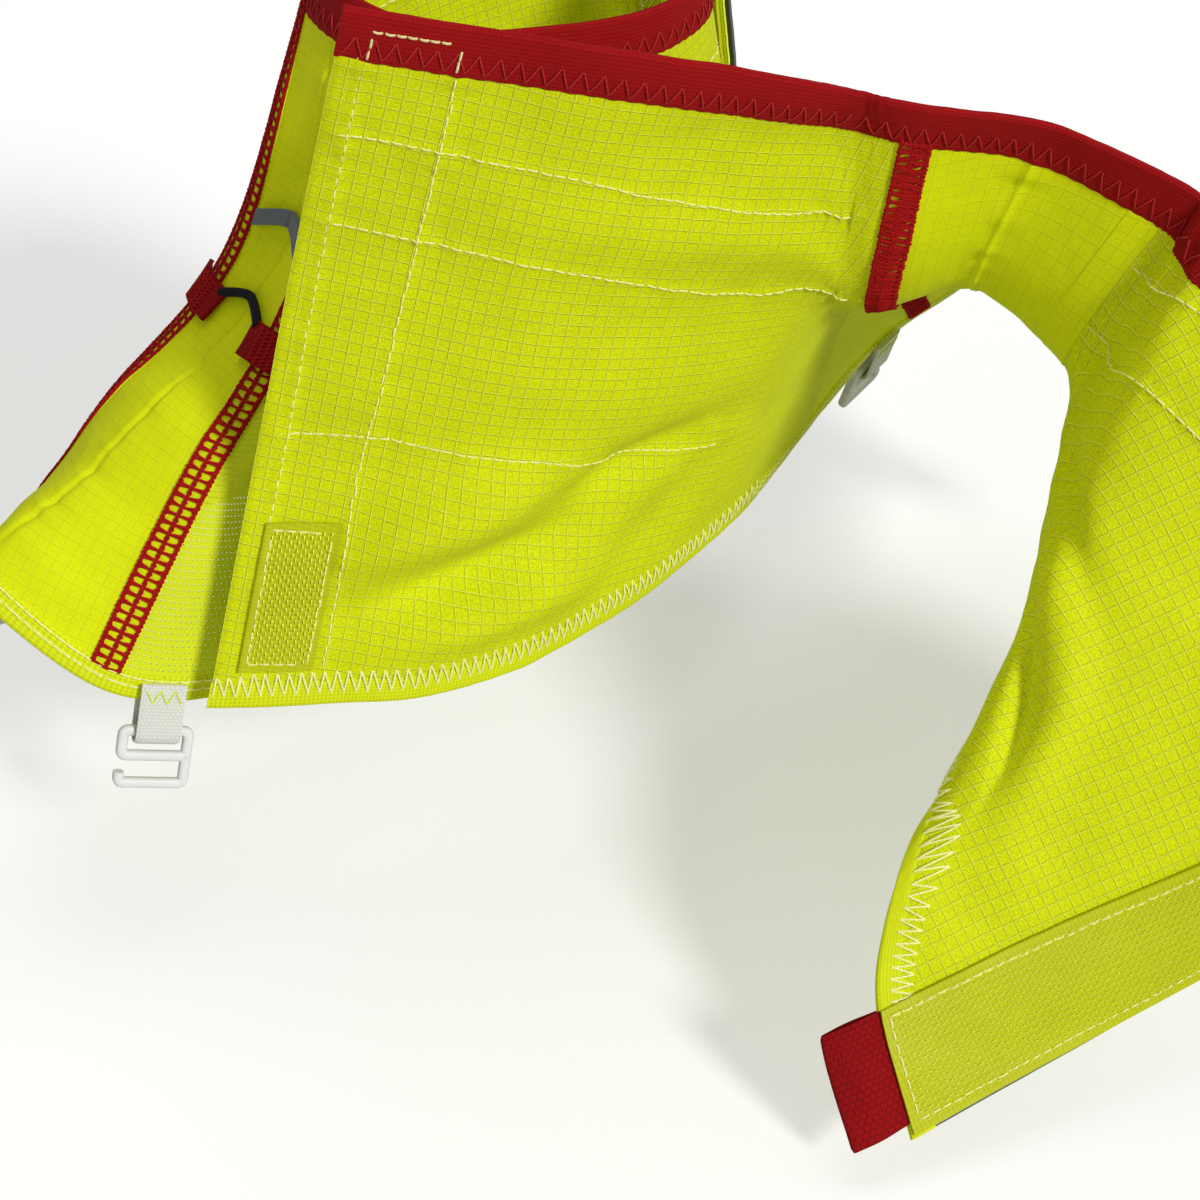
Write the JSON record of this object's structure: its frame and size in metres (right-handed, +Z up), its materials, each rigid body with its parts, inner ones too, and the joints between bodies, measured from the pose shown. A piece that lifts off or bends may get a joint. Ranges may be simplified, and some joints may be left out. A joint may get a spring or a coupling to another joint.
{
  "type": "trail gaiters",
  "caption": "Pair of rear-opening fabric trail gaiters, one laid open at the heel and one closed, with hook-and-loop flaps, side clips and pull tabs.",
  "frame": {"origin": "on the ground under the ankle of the open gaiter, at the shoe that holds it", "axes": "+Z up, +Y towards the open gaiter's toe, +X to the wearer's right"},
  "size_m": [0.3646, 0.2589, 0.2097],
  "materials": {
    "ripstop": "woven ripstop",
    "mesh": "open knit mesh",
    "stretch": "stretch woven",
    "red_thread": "looped thread",
    "red_elastic": "knitted elastic",
    "yellow_elastic": "knitted elastic",
    "loop_tape": "brushed loop",
    "hook_tape": "moulded hooks",
    "grey_film": "satin",
    "red_webbing": "woven",
    "white_webbing": "woven",
    "white_plastic": "moulded satin",
    "black_elastic": "knitted elastic",
    "grey_elastic": "knitted elastic"
  },
  "bodies": {
    "fronts": {"open_under_side": "ripstop", "open_over_side": "ripstop", "open_under_gusset": "mesh", "open_over_gusset": "mesh", "open_under_front": "stretch", "open_over_front": "stretch", "open_under_seam": "red_thread", "open_over_seam": "red_thread", "open_front_binding": "red_elastic", "open_front_hem": "yellow_elastic", "open_under_tab": "red_webbing", "open_over_tab": "red_webbing", "open_instep_elastic": "black_elastic", "open_ankle_band": "grey_elastic", "open_under_webbing": "white_webbing", "open_over_webbing": "white_webbing", "open_lace_hook": "white_plastic", "closed_under_flap": "ripstop", "closed_under_side": "ripstop", "closed_over_side": "ripstop", "closed_under_gusset": "mesh", "closed_over_gusset": "mesh", "closed_under_front": "stretch", "closed_over_front": "stretch", "closed_under_seam": "red_thread", "closed_over_seam": "red_thread", "closed_under_binding": "red_elastic", "closed_front_binding": "red_elastic", "closed_under_hem": "yellow_elastic", "closed_front_hem": "yellow_elastic", "closed_loop_strip": "loop_tape", "closed_heel_patch": "hook_tape", "closed_under_tab": "red_webbing", "closed_over_tab": "red_webbing", "closed_instep_elastic": "black_elastic", "closed_ankle_band": "grey_elastic", "closed_under_webbing": "white_webbing", "closed_over_webbing": "white_webbing", "closed_lace_hook": "white_plastic"},
    "open_under_wing": {"open_under_flap": "ripstop", "open_under_binding": "red_elastic", "open_under_hem": "yellow_elastic", "open_loop_strip": "loop_tape", "open_heel_patch": "hook_tape"},
    "open_over_wing": {"open_over_flap": "ripstop", "open_over_binding": "red_elastic", "open_over_hem": "yellow_elastic", "open_hook_strip": "hook_tape", "open_edge_backing": "grey_film"},
    "closed_over_wing": {"closed_over_flap": "ripstop", "closed_over_binding": "red_elastic", "closed_over_hem": "yellow_elastic", "closed_hook_strip": "hook_tape", "closed_edge_backing": "grey_film"},
    "open_tab": {"open_pull_tab": "red_webbing"},
    "open_under_clip": {"open_under_hook": "white_plastic"},
    "open_over_clip": {"open_over_hook": "white_plastic"},
    "closed_tab": {"closed_pull_tab": "red_webbing"},
    "closed_under_clip": {"closed_under_hook": "white_plastic"},
    "closed_over_clip": {"closed_over_hook": "white_plastic"}
  },
  "joints": [
    {"name": "open_under_fold", "type": "hinge", "parent": "fronts", "child": "open_under_wing", "pos_m": [-0.05, 0.028, 0.058], "axis": [0.2341, -0.124, 0.9643], "range_deg": [0, 58]},
    {"name": "open_over_fold", "type": "hinge", "parent": "fronts", "child": "open_over_wing", "pos_m": [0.028, -0.044, 0.058], "axis": [0.26, 0.5361, 0.8031], "range_deg": [-50, 0]},
    {"name": "closed_over_fold", "type": "hinge", "parent": "fronts", "child": "closed_over_wing", "pos_m": [-0.16623, 0.00658, 0.053], "axis": [0.188, 0.2649, 0.9458], "range_deg": [0, 60]},
    {"name": "open_tab_flex", "type": "hinge", "parent": "open_over_wing", "child": "open_tab", "pos_m": [0.03401, -0.08474, 0.02172], "axis": [0.4302, -0.3612, -0.8274], "range_deg": [-15, 15], "stiffness_Nm_per_rad": 0.01},
    {"name": "closed_tab_flex", "type": "hinge", "parent": "closed_over_wing", "child": "closed_tab", "pos_m": [-0.07269, 0.09722, 0.0475], "axis": [0.9048, -0.4259, 0.003], "range_deg": [-15, 15], "stiffness_Nm_per_rad": 0.01},
    {"name": "open_under_clip_swing", "type": "hinge", "parent": "fronts", "child": "open_under_clip", "pos_m": [-0.03893, 0.11895, 0.05769], "axis": [0.283, 0.9448, 0.165], "range_deg": [-50, 50]},
    {"name": "open_over_clip_swing", "type": "hinge", "parent": "fronts", "child": "open_over_clip", "pos_m": [0.03833, 0.11876, 0.05793], "axis": [0.245, -0.9581, -0.148], "range_deg": [-50, 50]},
    {"name": "closed_under_clip_swing", "type": "hinge", "parent": "fronts", "child": "closed_under_clip", "pos_m": [-0.13943, -0.08167, 0.05311], "axis": [-0.7338, -0.6208, 0.2759], "range_deg": [-50, 50]},
    {"name": "closed_over_clip_swing", "type": "hinge", "parent": "fronts", "child": "closed_over_clip", "pos_m": [-0.19736, -0.04405, 0.05311], "axis": [0.2689, 0.9228, -0.2759], "range_deg": [-50, 50]}
  ]
}
